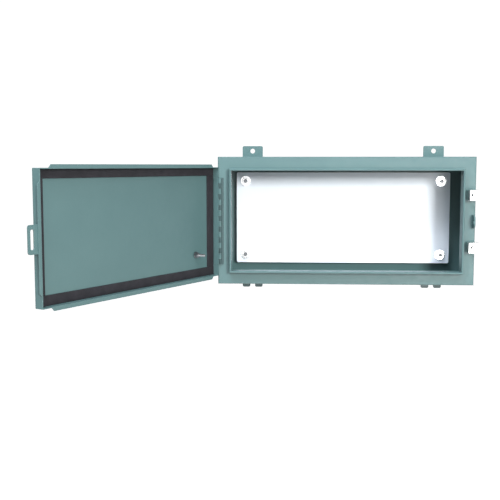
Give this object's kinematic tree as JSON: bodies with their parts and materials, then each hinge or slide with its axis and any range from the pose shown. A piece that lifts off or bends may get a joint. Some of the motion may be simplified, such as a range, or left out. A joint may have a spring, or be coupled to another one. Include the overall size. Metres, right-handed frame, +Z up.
{
  "type": "wall-mount control panel enclosure",
  "caption": "Shallow wall-hung steel control panel box with a hinged gasketed door, screw clamps, padlock staple and white inner panel.",
  "frame": {"origin": "on the wall plane, midway between the round holes of the two upper mounting feet", "axes": "+X to the right seen from the front, +Y into the wall, +Z up"},
  "size_m": [0.9094, 0.687, 0.362],
  "materials": {
    "enclosure_paint": "satin polyester powder coat, grey-teal",
    "panel_paint": "semi-gloss white powder coat",
    "zinc_plate": "bright zinc plate",
    "stainless": "pressed stainless steel, satin",
    "gasket_foam": "dark closed-cell foam"
  },
  "bodies": {
    "enclosure": {"box_shell": "enclosure_paint", "back_wall": "enclosure_paint", "mounting_foot_upper_left": "enclosure_paint", "mounting_foot_upper_right": "enclosure_paint", "mounting_foot_lower_left": "enclosure_paint", "mounting_foot_lower_right": "enclosure_paint", "padlock_staple": "enclosure_paint", "clamp_boss_upper": "enclosure_paint", "clamp_boss_lower": "enclosure_paint", "panel_studs": "zinc_plate", "inner_panel": "panel_paint", "panel_washers": "zinc_plate", "panel_nuts": "zinc_plate", "hinge_leaf_box": "enclosure_paint", "hinge_pin": "zinc_plate"},
    "door": {"door_pan": "enclosure_paint", "door_gasket": "gasket_foam", "hinge_leaf_door": "enclosure_paint", "hasp_plate": "enclosure_paint", "bonding_stud": "zinc_plate", "bonding_washer": "zinc_plate", "bonding_nut": "zinc_plate"},
    "washer_upper": {"clamp_washer_upper": "stainless"},
    "clamp_slider_upper": {"clamp_upper": "stainless"},
    "screw_upper": {"clamp_screw_upper": "stainless"},
    "washer_lower": {"clamp_washer_lower": "stainless"},
    "clamp_slider_lower": {"clamp_lower": "stainless"},
    "screw_lower": {"clamp_screw_lower": "stainless"}
  },
  "joints": [
    {"name": "door_hinge", "type": "hinge", "parent": "enclosure", "child": "door", "pos_m": [-0.29935, -0.1582, -0.1683], "axis": [0, 0, 1], "range_deg": [-4, 119]},
    {"name": "clamp_lift_upper", "type": "slide", "parent": "enclosure", "child": "washer_upper", "axis": [0, -1, 0], "range_m": [-0.0009, 0.003]},
    {"name": "clamp_slide_upper", "type": "slide", "parent": "washer_upper", "child": "clamp_slider_upper", "axis": [1, 0, 0], "range_m": [-0.0054, 0]},
    {"name": "screw_turn_upper", "type": "hinge", "parent": "washer_upper", "child": "screw_upper", "pos_m": [0.2972, -0.1871, -0.1056], "axis": [0, -1, 0], "range_deg": [-256, 851]},
    {"name": "clamp_lift_lower", "type": "slide", "parent": "enclosure", "child": "washer_lower", "axis": [0, -1, 0], "range_m": [-0.0009, 0.003]},
    {"name": "clamp_slide_lower", "type": "slide", "parent": "washer_lower", "child": "clamp_slider_lower", "axis": [1, 0, 0], "range_m": [-0.0054, 0]},
    {"name": "screw_turn_lower", "type": "hinge", "parent": "washer_lower", "child": "screw_lower", "pos_m": [0.2972, -0.1871, -0.2286], "axis": [0, -1, 0], "range_deg": [-256, 851]}
  ],
  "couplings": [
    {"joint": "screw_turn_upper", "follows": "clamp_lift_upper", "rad_per_m": 4947.4},
    {"joint": "screw_turn_lower", "follows": "clamp_lift_lower", "rad_per_m": 4947.4}
  ]
}
